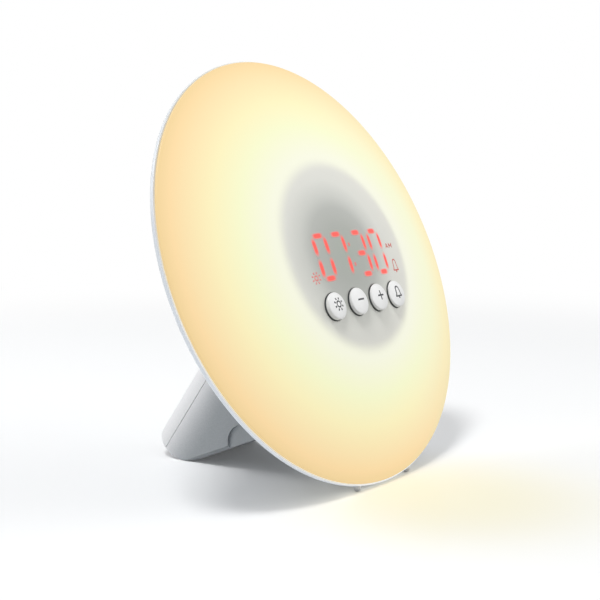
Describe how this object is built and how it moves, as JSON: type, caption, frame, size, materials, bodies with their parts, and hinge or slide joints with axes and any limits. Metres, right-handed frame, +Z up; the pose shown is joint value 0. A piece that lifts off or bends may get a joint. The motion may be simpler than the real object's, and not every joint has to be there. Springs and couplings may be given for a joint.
{
  "type": "sunrise alarm clock",
  "caption": "Lens-shaped bedside wake-up light with a clock display and round push keys in its middle, leaning back on a wedge stand.",
  "frame": {"origin": "on the table, under the middle of the clock", "axes": "+Z up, lit face towards -Y, +X to the viewer's right"},
  "size_m": [0.1892, 0.11, 0.1754],
  "materials": {
    "diffuser": "moulded opal acrylic, satin, lit from behind",
    "housing": "moulded white ABS, satin gloss",
    "stand": "silver-grey paint, satin",
    "rubber": "light grey rubber, matt",
    "black_plastic": "moulded black nylon",
    "nickel": "nickel plate",
    "foam": "black foam tape",
    "steel": "zinc-plated pressing",
    "paper_cone": "black polymer film",
    "magnet": "nickel-coated magnet in a steel cup",
    "clock_plate": "grey-painted plate behind the diffuser",
    "board": "glass-fibre laminate, green mask",
    "display_black": "potted display block",
    "lit_red": "lit segments, red",
    "dark_window": "segments that are off",
    "light_pipe": "clear red acrylic",
    "chip": "moulded epoxy",
    "capacitor": "sleeved can",
    "socket": "moulded white nylon",
    "board_white": "laminate, white mask",
    "emitter": "yellow phosphor",
    "reflector_white": "white high-gloss polycarbonate",
    "screw": "zinc plate",
    "lead": "insulated wire",
    "button": "moulded white ABS, gloss",
    "plunger": "moulded dark nylon"
  },
  "bodies": {
    "root": {"diffuser_dome": "diffuser", "rear_housing": "housing", "rim_feet": "rubber", "stand_shell": "stand", "heel_pad": "rubber", "stand_cover": "stand", "dc_jack": "black_plastic", "dc_jack_pin": "nickel", "speaker_gasket": "foam", "speaker_frame": "steel", "speaker_cone": "paper_cone", "speaker_magnet": "magnet", "clock_housing": "clock_plate", "main_board": "board", "display_module": "display_black", "lit_segments": "lit_red", "dark_segments": "dark_window", "indicator_lights": "light_pipe", "switch_bodies": "black_plastic", "microcontroller": "chip", "capacitors": "capacitor", "led_drivers": "chip", "board_sockets": "socket", "led_board": "board_white", "led_emitters": "emitter", "reflector": "reflector_white", "rim_screws": "screw", "hub_screws": "screw", "stand_screws": "screw", "cover_screws": "screw", "board_screws": "screw", "led_board_screws": "screw", "power_leads": "lead", "speaker_leads": "lead", "led_leads": "lead"},
    "key_light": {"button_light": "button", "plunger_light": "plunger"},
    "key_minus": {"button_minus": "button", "plunger_minus": "plunger"},
    "key_plus": {"button_plus": "button", "plunger_plus": "plunger"},
    "key_alarm": {"button_alarm": "button", "plunger_alarm": "plunger"}
  },
  "joints": [
    {"name": "press_light", "type": "slide", "parent": "root", "child": "key_light", "axis": [0, 0.9225, -0.3859], "range_m": [0, 0.0008], "stiffness_N_per_m": 900},
    {"name": "press_minus", "type": "slide", "parent": "root", "child": "key_minus", "axis": [0, 0.9225, -0.3859], "range_m": [0, 0.0008], "stiffness_N_per_m": 900},
    {"name": "press_plus", "type": "slide", "parent": "root", "child": "key_plus", "axis": [0, 0.9225, -0.3859], "range_m": [0, 0.0008], "stiffness_N_per_m": 900},
    {"name": "press_alarm", "type": "slide", "parent": "root", "child": "key_alarm", "axis": [0, 0.9225, -0.3859], "range_m": [0, 0.0008], "stiffness_N_per_m": 900}
  ]
}
